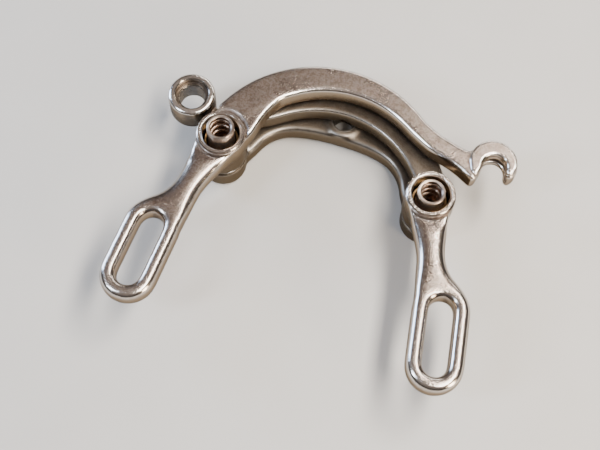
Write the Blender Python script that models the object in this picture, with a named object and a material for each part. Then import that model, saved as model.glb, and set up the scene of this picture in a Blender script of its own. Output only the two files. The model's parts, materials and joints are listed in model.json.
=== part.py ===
"""Centre-pull rim brake caliper, lying on its back with its front up.

Two forged arms turn on steel posts that are riveted into an arched bridge. The hook arm
turns on the left post and its arc ends in an open hook. The eye arm turns on the right post,
its arc passes under the other one and it ends in a ring. +X is right, +Y is the crown of the
arch, +Z is the front. Sizes are in millimetres and MM turns them into metres.
"""

import math

import bmesh
import bpy

MM = 0.001

# Layout.
PIVOT_SPACING = 62.0
HALF = PIVOT_SPACING / 2
FIT_GAP = 0.3
EYE_ARM_DROP = 4.4  # how far the eye arm's turn from the hook arm's lowers it at the other post
EYE_ARM_REST = math.degrees(math.asin(EYE_ARM_DROP / PIVOT_SPACING))
# Name, place, handedness and resting turn of each pivot.
SIDES = (("left", -HALF, 1, 0.0), ("right", HALF, -1, EYE_ARM_REST))

# Bridge.
BRIDGE_THICKNESS = 6.6
BRIDGE_ROUNDING = 1.8
BACK_RELIEF = 0.3  # the web stands back from the flat backs of its three bosses
BRIDGE_CROWN_INNER = 16.0
BRIDGE_CROWN_OUTER = 25.0
BRIDGE_END_HEIGHT = BRIDGE_THICKNESS + 0.9
CENTRE_HOLE_RADIUS = 3.1
CENTRE_BOSS_WALL = 2.5
CENTRE_BOSS_RADIUS = CENTRE_HOLE_RADIUS + CENTRE_BOSS_WALL
CENTRE_BOSS_RISE = 0.6
BRIDGE_CHAMFER = 0.6
CENTRE_HOLE_Y = BRIDGE_CROWN_INNER + CENTRE_BOSS_RADIUS + 0.2
# The world's origin is on the centre boss's back face, half way across its ring, and the
# pivots lie this far below it.
SEAT_Y = CENTRE_HOLE_Y - (CENTRE_HOLE_RADIUS + CENTRE_BOSS_RADIUS - BRIDGE_CHAMFER) / 2

# Pivot posts, their thread and their riveted tails.
THREAD_CORE_RADIUS = 2.6
POST_WALL = 1.35
POST_RADIUS = THREAD_CORE_RADIUS + POST_WALL
POST_SHANK_RADIUS = POST_RADIUS - 0.75
THREAD_DEPTH = 14.5
POST_STAND_OUT = {"left": 2.8, "right": 1.0}
POST_CHAMFER = 0.3
RIVET_RADIUS = POST_RADIUS + 0.45
RIVET_THICKNESS = 1.1

# Arm plates, from the front: the front plate carries both legs and the hook arm's arc, and the
# eye arm's arc passes between it and the bridge.
ARM_THICKNESS = 6.5
REAR_THICKNESS = 5.8
ARC_CLEARANCE = 1.0
FACE_DROP = 0.5
REAR_LIFT = 0.2
ARM_ROUNDING = 1.5
LEG_ROUNDING = 2.5
FOOT_ROUNDING = 1.6
SLOT_ROUNDING = 1.3
LEG_INSET = 0.15  # the leg is this much thinner on each face

# Arm bosses and bushings.
BUSHING_WALL = 0.85
BOSS_WALL = 1.75
BOSS_BORE_RADIUS = POST_RADIUS + FIT_GAP + BUSHING_WALL + FIT_GAP
BOSS_RADIUS = BOSS_BORE_RADIUS + BOSS_WALL
BOSS_CHAMFER = 0.7
BOSS_GAP = 0.5
BOSS_BOTTOM = BRIDGE_END_HEIGHT + BOSS_GAP
BOSS_HEIGHT = REAR_LIFT + REAR_THICKNESS + ARC_CLEARANCE + ARM_THICKNESS + FACE_DROP
BOSS_TOP = BOSS_BOTTOM + BOSS_HEIGHT
BUSHING_RECESS = 5.0
BRIDGE_END_RADIUS = BOSS_RADIUS - 0.25
FRONT_TOP = BOSS_TOP - FACE_DROP
FRONT_BOTTOM = FRONT_TOP - ARM_THICKNESS
REAR_BOTTOM = BOSS_BOTTOM + REAR_LIFT
REAR_TOP = REAR_BOTTOM + REAR_THICKNESS

# Return springs, coiled round the posts inside the backs of the bosses.
WIRE_RADIUS = 0.55
COIL_RADIUS = POST_RADIUS + WIRE_RADIUS + 0.4
COIL_TURNS = 2.25
COIL_PITCH = 1.5
SPRING_POCKET_RADIUS = COIL_RADIUS + WIRE_RADIUS + 0.45
SPRING_TAIL_DEPTH = 3.0
SPRING_NOTCH_ANGLE = 190.0
COIL_START = BOSS_BOTTOM + WIRE_RADIUS + 0.1
COIL_END = COIL_START + COIL_PITCH * COIL_TURNS
SPRING_POCKET_TOP = COIL_END + WIRE_RADIUS + FIT_GAP

# Arc of an arm, seen from its own pivot with the other pivot at +X. Each edge is an arc with
# its centre past mid-span, its radius beyond half the span, its start this far over the
# pivot's boss, and its end this far before the other pivot and over that pivot's boss.
ARC_OUTER = {"shift": -0.8, "beyond": 5.6, "start": 1.75, "back": 7.31, "over": 14.65}
HOOK_ARC_INNER = {"shift": 1.9, "beyond": -1.7, "start": -3.03, "back": 13.573, "over": 11.798}
EYE_ARC_INNER = {"shift": 0.1, "beyond": -1.7, "start": -3.03, "back": 14.4, "over": 10.26}
HOOK_CENTRE = (PIVOT_SPACING + 14.3, BOSS_RADIUS + 7.65)
HOOK_RADIUS = 7.1
SEAT_SHIFT = (0.6, -1.2)
SEAT_RADIUS = 3.25
HOOK_GROOVE_DEPTH = 1.4
HOOK_GROOVE_WIDTH = 1.8
EYE_CENTRE = (PIVOT_SPACING + 12.0, BOSS_RADIUS + 9.15)
EYE_BORE_RADIUS = 3.75
EYE_RECESS_RADIUS = EYE_BORE_RADIUS + 1.0
EYE_RECESS_DEPTH = 2.0
EYE_WALL = 1.55
EYE_RADIUS = EYE_RECESS_RADIUS + EYE_WALL
EYE_HEIGHT = 8.3
EYE_BOTTOM = REAR_BOTTOM + 1.5
EYE_TOP = EYE_BOTTOM + EYE_HEIGHT

# Legs and slotted feet.
LEG_LENGTH = 33.46  # from the pivot to the upper end of the slot's centre line
LEG_ANGLE = 16.0
TOE_IN = 12.0
SLOT_WIDTH = 7.5
SLOT_TRAVEL = 15.2
FOOT_WALL = 3.9
FOOT_RADIUS = SLOT_WIDTH / 2 + FOOT_WALL

# Half widths of the leg as (share of the leg's length, distance from its centre line).
LEG_ROOT = BOSS_RADIUS - 0.15
LEG_OUTER_SIDE = [(0.0, LEG_ROOT), (0.21, 4.5), (0.42, 2.6), (0.6, 2.1), (0.74, 3.5), (0.86, 6.2)]
LEG_INNER_SIDE = [(0.0, LEG_ROOT), (0.15, 6.2), (0.27, 5.4), (0.4, 4.9), (0.52, 4.7), (0.74, 5.9)]

ARC_STEP = 4.0
ROUND_STEPS = 48
WIRE_STEP = 1.924


def arc(centre, radius, start, end, step=ARC_STEP):
    """Points along an arc between two angles in degrees, in either direction."""
    count = max(2, math.ceil(abs(end - start) / step))
    angles = [math.radians(start + (end - start) * i / count) for i in range(count + 1)]
    return [(centre[0] + radius * math.cos(a), centre[1] + radius * math.sin(a)) for a in angles]


def smooth(points, steps=5):
    """A Catmull-Rom curve through hand-placed points."""
    ends = [points[0], *points, points[-1]]
    curve = []
    for a, b, c, d in zip(ends, ends[1:], ends[2:], ends[3:]):
        for i in range(steps):
            t = i / steps
            curve.append(
                tuple(
                    0.5 * (2 * q + (r - p) * t + (2 * p - 5 * q + 4 * r - s) * t**2
                           + (3 * q - p - 3 * r + s) * t**3)
                    for p, q, r, s in zip(a, b, c, d)
                )
            )
    return [*curve, points[-1]]


def from_axis(origin, direction, along, aside):
    """A point given along a direction and to the left of it."""
    x = origin[0] + direction[0] * along - direction[1] * aside
    y = origin[1] + direction[1] * along + direction[0] * aside
    return (x, y)


def heading(degrees_from_down):
    """The direction that leans outward, towards -X, from straight down."""
    a = math.radians(degrees_from_down)
    return (-math.sin(a), -math.cos(a))


def metal(name, colour, roughness, metallic=1.0):
    material = bpy.data.materials.new(name)
    material.use_nodes = True
    shader = material.node_tree.nodes["Principled BSDF"]
    shader.inputs["Base Color"].default_value = (*colour, 1.0)
    shader.inputs["Roughness"].default_value = roughness
    shader.inputs["Metallic"].default_value = metallic
    material.diffuse_color = (*colour, 1.0)
    return material


def finish_mesh(name, bm, parent, material=None):
    """Turns a bmesh in millimetres into an object of metres."""
    bmesh.ops.remove_doubles(bm, verts=bm.verts, dist=1e-4)
    bmesh.ops.recalc_face_normals(bm, faces=bm.faces)
    bmesh.ops.scale(bm, vec=(MM, MM, MM), verts=bm.verts)
    mesh = bpy.data.meshes.new(name)
    bm.to_mesh(mesh)
    bm.free()
    mesh.shade_smooth()
    mesh.set_sharp_from_angle(angle=math.radians(35))
    obj = bpy.data.objects.new(name, mesh)
    bpy.context.scene.collection.objects.link(obj)
    obj.parent = parent
    if material:
        mesh.materials.append(material)
    return obj


def plate(name, outline, bottom, top, rounding, parent, side=1, material=None):
    """A flat forging: an outline raised between two heights, with rounded rims."""
    bm = bmesh.new()
    corners = [bm.verts.new((side * x, y, bottom)) for x, y in outline]
    face = bm.faces.new(corners)
    raised = bmesh.ops.extrude_face_region(bm, geom=[face])["geom"]
    lifted = [item for item in raised if isinstance(item, bmesh.types.BMVert)]
    bmesh.ops.translate(bm, vec=(0, 0, top - bottom), verts=lifted)
    rims = [e for e in bm.edges if abs(e.verts[0].co.z - e.verts[1].co.z) < 1e-6]
    if rounding:
        bmesh.ops.bevel(bm, geom=rims, offset=rounding, segments=3, profile=0.5,
                        affect="EDGES", clamp_overlap=True)
    return finish_mesh(name, bm, parent, material)


def turned(name, profile, centre, parent, material=None, steps=ROUND_STEPS):
    """A lathe shape from (radius, height) points that run round one half of its section."""
    turn = [2 * math.pi * i / steps for i in range(steps)]
    rings = []
    for radius, height in profile:
        ring = [(centre[0] + radius * math.cos(a), centre[1] + radius * math.sin(a), height)
                for a in turn]
        rings.append(ring)
    return skinned(name, [*rings, rings[0]], parent, material)


def skinned(name, rings, parent, material=None):
    """Joins rings of equally many points with faces."""
    bm = bmesh.new()
    rows = [[bm.verts.new(point) for point in ring] for ring in rings]
    for lower, upper in zip(rows, rows[1:]):
        for i, corner in enumerate(lower):
            j = (i + 1) % len(lower)
            bm.faces.new([corner, lower[j], upper[j], upper[i]])
    for row, ring in ((rows[0], rings[0]), (rows[-1], rings[-1])):
        if rings[0] != rings[-1]:
            bm.faces.new(row)
    return finish_mesh(name, bm, parent, material)


def barrel(name, centre, radius, bottom, top, chamfer, parent, material=None):
    """A solid cylinder with chamfered rims."""
    profile = [(0, bottom), (radius - chamfer, bottom), (radius, bottom + chamfer),
               (radius, top - chamfer), (radius - chamfer, top), (0, top)]
    if not chamfer:
        profile = [(0, bottom), (radius, bottom), (radius, top), (0, top)]
    return turned(name, profile, centre, parent, material)


def combine(target, helpers, operation):
    """Joins helpers to a node or cuts them away in one step, and hides them."""
    group = bpy.data.collections.new(f"{target.name}_{operation.lower()}")
    for helper in helpers:
        group.objects.link(helper)
        helper.hide_render = True
        helper.display_type = "WIRE"
    modifier = target.modifiers.new(group.name, "BOOLEAN")
    modifier.operation = operation
    modifier.solver = "EXACT"
    modifier.operand_type = "COLLECTION"
    modifier.collection = group


def guide_empty(name, place, turn=0.0, parent=None):
    """An empty that pieces hang from, such as a pivot's axis."""
    empty = bpy.data.objects.new(name, None)
    empty.location = (place[0] * MM, place[1] * MM, 0)
    empty.rotation_euler = (0, 0, math.radians(turn))
    empty.parent = parent
    bpy.context.scene.collection.objects.link(empty)
    return empty


def bridge_outline():
    """The arch of the bridge: a shouldered inner edge and a plain outer arc."""
    crown = BRIDGE_CROWN_INNER
    end_x = HALF - BRIDGE_END_RADIUS + 0.6
    inner_half = [(end_x, 1.0), (HALF * 0.73, crown * 0.3), (HALF * 0.665, crown * 0.57),
                  (HALF * 0.565, crown * 0.78), (HALF * 0.435, crown * 0.905),
                  (HALF * 0.24, crown * 0.975), (0, crown)]
    right = smooth(inner_half)
    inner = right + [(-x, y) for x, y in reversed(right[:-1])]
    reach = HALF + 1.5
    drop = BRIDGE_CROWN_OUTER - (BRIDGE_END_RADIUS - 0.3)
    radius = (reach**2 + drop**2) / (2 * drop)
    half_angle = math.degrees(math.asin(reach / radius))
    outer = arc((0, BRIDGE_CROWN_OUTER - radius), radius, 90 + half_angle, 90 - half_angle)
    return [*inner, (-HALF, -1.0), *outer, (HALF, -1.0)]


def make_bridge(frame, material):
    bridge = plate("bridge", bridge_outline(), BACK_RELIEF, BRIDGE_THICKNESS, BRIDGE_ROUNDING,
                   frame, material=material)
    centre = (0, CENTRE_HOLE_Y)
    bosses = [barrel("bridge_centre_boss", centre, CENTRE_BOSS_RADIUS, 0,
                     BRIDGE_THICKNESS + CENTRE_BOSS_RISE, BRIDGE_CHAMFER, frame)]
    holes = [barrel("bridge_centre_hole", centre, CENTRE_HOLE_RADIUS, -2,
                    BRIDGE_THICKNESS + 4, 0, frame)]
    for label, x, side, _ in SIDES:
        bosses.append(barrel(f"bridge_end_{label}", (x, 0), BRIDGE_END_RADIUS, 0,
                             BRIDGE_END_HEIGHT, BRIDGE_CHAMFER, frame))
        holes.append(post_hole(label, x, frame))
        tail = spring_tail_place(side)
        holes.append(barrel(f"bridge_spring_hole_{label}", (x + tail[0], tail[1]),
                            WIRE_RADIUS + FIT_GAP, BRIDGE_END_HEIGHT - SPRING_TAIL_DEPTH - 1,
                            BRIDGE_END_HEIGHT + 2, 0, frame))
    combine(bridge, bosses, "UNION")
    combine(bridge, holes, "DIFFERENCE")
    return bridge


def post_hole(label, x, frame):
    """The stepped hole that a post's shank and rivet fill."""
    hole = POST_SHANK_RADIUS + FIT_GAP
    sink = RIVET_RADIUS + FIT_GAP
    floor = RIVET_THICKNESS + 2 * FIT_GAP
    profile = [(0, -2), (sink, -2), (sink, floor), (hole, floor),
               (hole, BRIDGE_END_HEIGHT + 2), (0, BRIDGE_END_HEIGHT + 2)]
    return turned(f"bridge_post_hole_{label}", profile, (x, 0), frame)


def make_post(label, x, frame, material):
    """A riveted steel post with a tapped hole in its front end."""
    shoulder = BRIDGE_END_HEIGHT + FIT_GAP
    top = BOSS_TOP + POST_STAND_OUT[label]
    rivet_top = FIT_GAP + RIVET_THICKNESS
    floor = BOSS_TOP - THREAD_DEPTH
    profile = [(0, FIT_GAP), (RIVET_RADIUS, FIT_GAP), (RIVET_RADIUS, rivet_top),
               (POST_SHANK_RADIUS, rivet_top), (POST_SHANK_RADIUS, shoulder),
               (POST_RADIUS, shoulder), (POST_RADIUS, top - POST_CHAMFER),
               (POST_RADIUS - POST_CHAMFER, top), (THREAD_CORE_RADIUS + POST_CHAMFER, top),
               (THREAD_CORE_RADIUS, top - POST_CHAMFER),
               (THREAD_CORE_RADIUS, floor), (0, floor - 1.2)]
    return turned(f"pivot_post_{label}", profile, (x, 0), frame, material)


def make_bushing(label, parent, material):
    """A plain bearing bushing between the post and the boss."""
    inner = POST_RADIUS + FIT_GAP
    outer = BOSS_BORE_RADIUS - FIT_GAP
    bottom = SPRING_POCKET_TOP + FIT_GAP
    top = BOSS_TOP - BUSHING_RECESS
    profile = [(inner, bottom), (outer, bottom), (outer, top - 0.2), (outer - 0.2, top),
               (inner + 0.2, top), (inner, top - 0.2)]
    return turned(f"pivot_bushing_{label}", profile, (0, 0), parent, material)


def spring_tail_place(side):
    """Where the coil's lower end drops into the bridge, from the pivot."""
    angle = math.radians(SPRING_NOTCH_ANGLE - 360 * COIL_TURNS)
    return (side * COIL_RADIUS * math.cos(angle), COIL_RADIUS * math.sin(angle))


def spring_route(side, rest):
    """Lower tail, helix and upper tail of a return spring, from its pivot."""
    steps = round(COIL_TURNS * 2 * math.pi * COIL_RADIUS / WIRE_STEP)
    tail_x, tail_y = spring_tail_place(side)
    foot = BRIDGE_END_HEIGHT - SPRING_TAIL_DEPTH
    start = SPRING_NOTCH_ANGLE - 360 * COIL_TURNS
    end = SPRING_NOTCH_ANGLE - rest
    route = [(tail_x, tail_y, foot), (tail_x, tail_y, (foot + BRIDGE_END_HEIGHT) / 2),
             (tail_x, tail_y, BRIDGE_END_HEIGHT - 0.2)]
    for i in range(1, steps + 1):
        angle = math.radians(start + (end - start) * i / steps)
        height = COIL_START + COIL_PITCH * COIL_TURNS * i / steps
        route.append((side * COIL_RADIUS * math.cos(angle), COIL_RADIUS * math.sin(angle), height))
    out = math.radians(end)
    tip = BOSS_RADIUS - 0.2
    route.append((side * tip * math.cos(out), tip * math.sin(out), COIL_END))
    return route


def make_spring(label, x, side, rest, frame, material):
    """A torsion spring of round wire."""
    curve = bpy.data.curves.new(f"return_spring_{label}", "CURVE")
    curve.dimensions = "3D"
    curve.bevel_depth = WIRE_RADIUS * MM
    curve.bevel_resolution = 2
    curve.use_fill_caps = True
    route = spring_route(side, rest)
    spline = curve.splines.new("POLY")
    spline.points.add(len(route) - 1)
    for point, place in zip(spline.points, route):
        point.co = (place[0] * MM, place[1] * MM, place[2] * MM, 1.0)
    curve.materials.append(material)
    obj = bpy.data.objects.new(f"return_spring_{label}", curve)
    obj.location = (x * MM, 0, 0)
    obj.parent = frame
    bpy.context.scene.collection.objects.link(obj)
    return obj


def leg_axis():
    """The slot's two end centres and the slot's direction, from the pivot."""
    down = heading(LEG_ANGLE)
    upper = (down[0] * LEG_LENGTH, down[1] * LEG_LENGTH)
    along = heading(LEG_ANGLE - TOE_IN)
    lower = (upper[0] + along[0] * SLOT_TRAVEL, upper[1] + along[1] * SLOT_TRAVEL)
    return upper, lower, along


def stadium(radius, upper, lower, along):
    """An outline of half rounds about two centres."""
    toe = math.degrees(math.atan2(along[1], along[0]))
    return (arc(lower, radius, toe - 90, toe + 90, 7.5)
            + arc(upper, radius, toe + 90, toe + 270, 7.5))


def slot_cutter(name, parent, side):
    """The slot with its mouths flared, which rounds the foot's inner edges."""
    upper, lower, along = leg_axis()
    quarter = [math.radians(90 * i / 3) for i in range(4)]
    flare = [(SLOT_ROUNDING * (1 - math.sin(a)), SLOT_ROUNDING * (1 - math.cos(a))) for a in quarter]
    levels = [(SLOT_ROUNDING, FRONT_BOTTOM - 2)]
    levels += [(extra, FRONT_BOTTOM + rise) for extra, rise in flare]
    levels += [(extra, FRONT_TOP - rise) for extra, rise in reversed(flare)]
    levels += [(SLOT_ROUNDING, FRONT_TOP + 2)]
    rings = []
    for extra, height in levels:
        outline = stadium(SLOT_WIDTH / 2 + extra, upper, lower, along)
        rings.append([(side * x, y, height) for x, y in outline])
    return skinned(name, rings, parent)


def leg_outline():
    """The waisted leg between the boss and the foot."""
    down = heading(LEG_ANGLE)
    outer = [from_axis((0, 0), down, share * LEG_LENGTH, -width) for share, width in LEG_OUTER_SIDE]
    inner = [from_axis((0, 0), down, share * LEG_LENGTH, width) for share, width in LEG_INNER_SIDE]
    upper, _, along = leg_axis()
    tuck = FOOT_RADIUS - 0.35
    outer.append(from_axis(upper, along, 0.5, -tuck))
    inner.append(from_axis(upper, along, 0.5, tuck))
    return smooth(outer) + list(reversed(smooth(inner)))


def arc_edge(edge):
    """One edge of an arm's arc, from the pivot side to the neck."""
    radius = HALF + edge["beyond"]
    centre_x = HALF + edge["shift"]
    run = PIVOT_SPACING - edge["back"] - centre_x
    centre_y = BOSS_RADIUS + edge["over"] - math.sqrt(radius**2 - run**2)
    rise = BOSS_RADIUS + edge["start"] - centre_y
    start = 180 - math.degrees(math.asin(rise / radius))
    return arc((centre_x, centre_y), radius, start, math.degrees(math.acos(run / radius)))


def hook_arc_outline():
    """Arc, neck and open hook in one outline."""
    outer, inner = arc_edge(ARC_OUTER), reversed(arc_edge(HOOK_ARC_INNER))
    hook_x, hook_y = HOOK_CENTRE
    seat = (hook_x + SEAT_SHIFT[0], hook_y + SEAT_SHIFT[1])
    neck_top = [(hook_x - 18.8, hook_y + 5.5), (hook_x - 15.7, hook_y + 4.0),
                (hook_x - 12.4, hook_y + 3.0), (hook_x - 9.2, hook_y + 2.1)]
    crown = arc(HOOK_CENTRE, HOOK_RADIUS, 166, -16, 8.0)
    tip = [(seat[0] + SEAT_RADIUS + 1.7, seat[1] - 2.2), (seat[0] + SEAT_RADIUS + 0.6, seat[1] - 1.9)]
    seat_edge = arc(seat, SEAT_RADIUS, -12, 200, 10.0)
    jaw = [(hook_x - 3.1, hook_y - 4.2), (hook_x - 3.6, hook_y - 6.2), (hook_x - 4.6, hook_y - 7.0),
           (hook_x - 6.3, hook_y - 6.1)]
    neck_bottom = smooth([(hook_x - 8.6, hook_y - 4.8), (hook_x - 12.0, hook_y - 3.3),
                          (hook_x - 15.2, hook_y - 2.4), (hook_x - 18.4, hook_y - 1.4),
                          (hook_x - 21.6, hook_y + 0.3), (hook_x - 25.0, hook_y + 2.3)])
    return [*outer, *neck_top, *crown, *tip, *seat_edge, *jaw, *neck_bottom, *inner,
            (BOSS_RADIUS - 0.8, 0.5), (2.0, -3.0), (-3.5, -3.0)]


def eye_arc_outline():
    """Arc and neck that end inside the ring."""
    outer, inner = arc_edge(ARC_OUTER), reversed(arc_edge(EYE_ARC_INNER))
    eye_x, eye_y = EYE_CENTRE
    neck_top = smooth([(eye_x - 17.0, eye_y + 3.7), (eye_x - 13.0, eye_y + 1.2),
                       (eye_x - 9.0, eye_y - 0.3), (eye_x - 5.2, eye_y - 0.4)], 3)
    neck_bottom = smooth([(eye_x - 4.0, eye_y - 4.7), (eye_x - 8.0, eye_y - 4.9),
                          (eye_x - 12.6, eye_y - 4.0), (eye_x - 16.1, eye_y - 3.5),
                          (eye_x - 19.3, eye_y - 2.4), (eye_x - 22.7, eye_y - 0.9)])
    return [*outer, *neck_top, *neck_bottom, *inner,
            (BOSS_RADIUS - 0.8, 0.5), (2.0, -3.0), (-3.5, -3.0)]


def make_arm(name, arc_outline, arc_levels, extras, cuts, parent, side, material):
    """Boss, leg, slotted foot and arc of an arm, with its own end's pieces and cuts."""
    upper, lower, along = leg_axis()
    arm = barrel(name, (0, 0), BOSS_RADIUS, BOSS_BOTTOM, BOSS_TOP, BOSS_CHAMFER, parent, material)
    sweep = plate(f"{name}_arc", arc_outline, arc_levels[0], arc_levels[1], ARM_ROUNDING, parent, side)
    leg = plate(f"{name}_leg", leg_outline(), FRONT_BOTTOM + LEG_INSET, FRONT_TOP - LEG_INSET,
                LEG_ROUNDING, parent, side)
    foot = plate(f"{name}_foot", stadium(FOOT_RADIUS, upper, lower, along),
                 FRONT_BOTTOM, FRONT_TOP, FOOT_ROUNDING, parent, side)
    slot = slot_cutter(f"{name}_slot", parent, side)
    combine(arm, [sweep, leg, foot, *extras], "UNION")
    combine(arm, [slot, *boss_cuts(name, parent, side), *cuts], "DIFFERENCE")
    return arm


def boss_cuts(name, parent, side):
    """Bore, spring pocket and spring notch of an arm's boss."""
    mouth = BOSS_BORE_RADIUS + 0.4
    profile = [(0, BOSS_BOTTOM - 2), (SPRING_POCKET_RADIUS, BOSS_BOTTOM - 2),
               (SPRING_POCKET_RADIUS, SPRING_POCKET_TOP), (BOSS_BORE_RADIUS, SPRING_POCKET_TOP),
               (BOSS_BORE_RADIUS, BOSS_TOP - 0.4), (mouth, BOSS_TOP), (mouth, BOSS_TOP + 2),
               (0, BOSS_TOP + 2)]
    bore = turned(f"{name}_bore", profile, (0, 0), parent)
    half = WIRE_RADIUS + FIT_GAP
    out = math.radians(SPRING_NOTCH_ANGLE)
    ray = (math.cos(out), math.sin(out))
    near = SPRING_POCKET_RADIUS - 2
    far = BOSS_RADIUS + 1
    corners = [from_axis((0, 0), ray, near, half), from_axis((0, 0), ray, far, half),
               from_axis((0, 0), ray, far, -half), from_axis((0, 0), ray, near, -half)]
    notch = plate(f"{name}_notch", corners, BOSS_BOTTOM - 2, COIL_END + half, 0, parent, side)
    return [bore, notch]


def make_hook_arm(parent, material):
    seat = (HOOK_CENTRE[0] + SEAT_SHIFT[0], HOOK_CENTRE[1] + SEAT_SHIFT[1])
    middle = (FRONT_BOTTOM + FRONT_TOP) / 2
    groove = barrel("hook_arm_groove", seat, SEAT_RADIUS + HOOK_GROOVE_DEPTH,
                    middle - HOOK_GROOVE_WIDTH / 2, middle + HOOK_GROOVE_WIDTH / 2, 0, parent)
    return make_arm("hook_arm", hook_arc_outline(), (FRONT_BOTTOM, FRONT_TOP), [], [groove],
                    parent, 1, material)


def make_eye_arm(parent, material):
    centre = (-EYE_CENTRE[0], EYE_CENTRE[1])
    ring = barrel("eye_arm_ring", centre, EYE_RADIUS, EYE_BOTTOM, EYE_TOP, 0.8, parent)
    step = EYE_TOP - EYE_RECESS_DEPTH
    profile = [(0, REAR_BOTTOM - 2), (EYE_BORE_RADIUS, REAR_BOTTOM - 2), (EYE_BORE_RADIUS, step),
               (EYE_RECESS_RADIUS, step), (EYE_RECESS_RADIUS, EYE_TOP + 2), (0, EYE_TOP + 2)]
    bore = turned("eye_arm_eye_bore", profile, centre, parent)
    return make_arm("eye_arm", eye_arc_outline(), (REAR_BOTTOM, REAR_TOP), [ring], [bore],
                    parent, -1, material)


def main():
    for obj in list(bpy.data.objects):
        bpy.data.objects.remove(obj, do_unlink=True)
    frame = guide_empty("caliper_frame", (0, -SEAT_Y))
    pivots = [guide_empty(f"{label}_pivot", (x, 0), rest, frame) for label, x, _, rest in SIDES]
    make_bridge(frame, metal("bridge_aluminium", (0.60, 0.58, 0.55), 0.34))
    make_hook_arm(pivots[0], metal("hook_arm_aluminium", (0.68, 0.65, 0.62), 0.28))
    make_eye_arm(pivots[1], metal("eye_arm_aluminium", (0.66, 0.63, 0.60), 0.30))
    for (label, x, side, rest), pivot in zip(SIDES, pivots):
        make_post(label, x, frame, metal(f"post_steel_{label}", (0.46, 0.42, 0.38), 0.36))
        make_bushing(label, pivot, metal(f"bushing_brass_{label}", (0.62, 0.45, 0.22), 0.38))
        make_spring(label, x, side, rest, frame,
                    metal(f"spring_steel_{label}", (0.38, 0.37, 0.36), 0.32))


main()
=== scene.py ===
# %% [markdown]
# # A stripped centre-pull rim brake caliper
# The caliper lies on its back. Two forged aluminium arms turn on steel posts, and the posts
# are riveted into an arched bridge. This lesson dresses a imported CAD model: every piece made
# here takes its place from the CAD and stands for one of its nodes, and all but the springs ride
# on one of its bodies.

import json
import math

import bmesh
import bpy
import numpy as np
from mathutils import Matrix, Vector


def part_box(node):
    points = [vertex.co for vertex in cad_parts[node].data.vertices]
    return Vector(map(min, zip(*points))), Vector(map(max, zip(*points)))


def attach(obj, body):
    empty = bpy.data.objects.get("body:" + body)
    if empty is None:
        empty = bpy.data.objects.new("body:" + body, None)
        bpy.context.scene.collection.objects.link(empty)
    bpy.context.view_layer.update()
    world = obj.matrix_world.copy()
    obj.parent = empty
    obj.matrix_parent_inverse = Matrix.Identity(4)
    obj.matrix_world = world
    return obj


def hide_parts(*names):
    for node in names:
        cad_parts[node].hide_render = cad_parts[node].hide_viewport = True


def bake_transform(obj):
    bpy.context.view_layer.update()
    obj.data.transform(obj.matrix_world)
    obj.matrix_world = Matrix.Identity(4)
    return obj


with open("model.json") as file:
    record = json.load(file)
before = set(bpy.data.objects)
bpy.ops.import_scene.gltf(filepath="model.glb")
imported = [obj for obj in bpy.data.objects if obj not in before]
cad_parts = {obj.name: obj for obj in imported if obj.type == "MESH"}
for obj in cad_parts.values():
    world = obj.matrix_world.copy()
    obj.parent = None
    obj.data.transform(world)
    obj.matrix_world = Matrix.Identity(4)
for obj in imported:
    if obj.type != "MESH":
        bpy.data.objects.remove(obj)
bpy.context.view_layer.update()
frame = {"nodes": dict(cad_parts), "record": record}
MM = 0.001
print("CAD nodes:", sorted(frame["nodes"]))

# %% [markdown]
# ## Where things are
# The record holds the two pivots and the boxes that must stay open. A maker would lay out the
# castings from these same marks, so they are read from the record and turned into millimetres.

# %% Read the marks from the record
record = frame["record"]
PIVOT = {}
for joint in record["behaviour"]["joints"]:
    side = "left" if joint["pos_m"][0] < 0 else "right"
    PIVOT[side] = (joint["pos_m"][0] / MM, joint["pos_m"][1] / MM)


def opening_centre(name):
    """The middle of a stated opening, in millimetres."""
    found = [o for o in record["physics"]["openings"] if o["name"] == name][0]
    low, high = found["box_m"]
    return ((low[0] + high[0]) / 2 / MM, (low[1] + high[1]) / 2 / MM)


def top_of(node):
    """The height of a CAD node's top, in millimetres."""
    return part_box(node)[1][2] / MM


EYE = opening_centre("cable_eye")
BOLT_HOLE = opening_centre("centre_bolt_hole")
SEAT_HEIGHT = -4.15
SEAT = (opening_centre("hook_mouth")[0], SEAT_HEIGHT)
FACE_DROP = 0.5
BOSS_TOP = top_of("hook_arm")
FACE_TOP = BOSS_TOP - FACE_DROP
BRIDGE_TOP = top_of("bridge")
print("pivots", PIVOT, "eye", EYE, "hook seat", SEAT, "boss top", round(BOSS_TOP, 2))

# %% [markdown]
# ## The camera
# A view from the front and slightly to the right, about 68 degrees above the bench and 0.3 m
# away. The camera is placed from its distance, height and turn about the point it looks at, so
# each of them can be changed alone.

# %% Place the camera
CAMERA_ELEVATION, CAMERA_TURN, CAMERA_ROLL = 67.757, 15.0, 2.734
CAMERA_DISTANCE = 299.52
LOOK_AT = Vector((-0.917, -38.173, 22.0))
FIELD_OF_VIEW = 30.734


def camera_axes(elevation, turn, roll):
    """Right, up and backward directions of a camera that circles the bench."""
    e, a, r = (math.radians(v) for v in (elevation, turn, roll))
    back = Vector((math.sin(a) * math.cos(e), -math.cos(a) * math.cos(e), math.sin(e)))
    right = Vector((math.cos(a), math.sin(a), 0))
    up = back.cross(right)
    return right * math.cos(r) + up * math.sin(r), up * math.cos(r) - right * math.sin(r), back


right, up, back = camera_axes(CAMERA_ELEVATION, CAMERA_TURN, CAMERA_ROLL)
camera = bpy.data.objects.new("camera", bpy.data.cameras.new("camera"))
bpy.context.scene.collection.objects.link(camera)
camera.data.angle = math.radians(FIELD_OF_VIEW)
camera.data.clip_start = 0.001
camera.matrix_world = Matrix.Translation((LOOK_AT + back * CAMERA_DISTANCE) * MM) @ Matrix(
    (right, up, back)).transposed().to_4x4()
bpy.context.scene.camera = camera
print("camera at", [round(v / MM, 1) for v in camera.matrix_world.translation])

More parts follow.
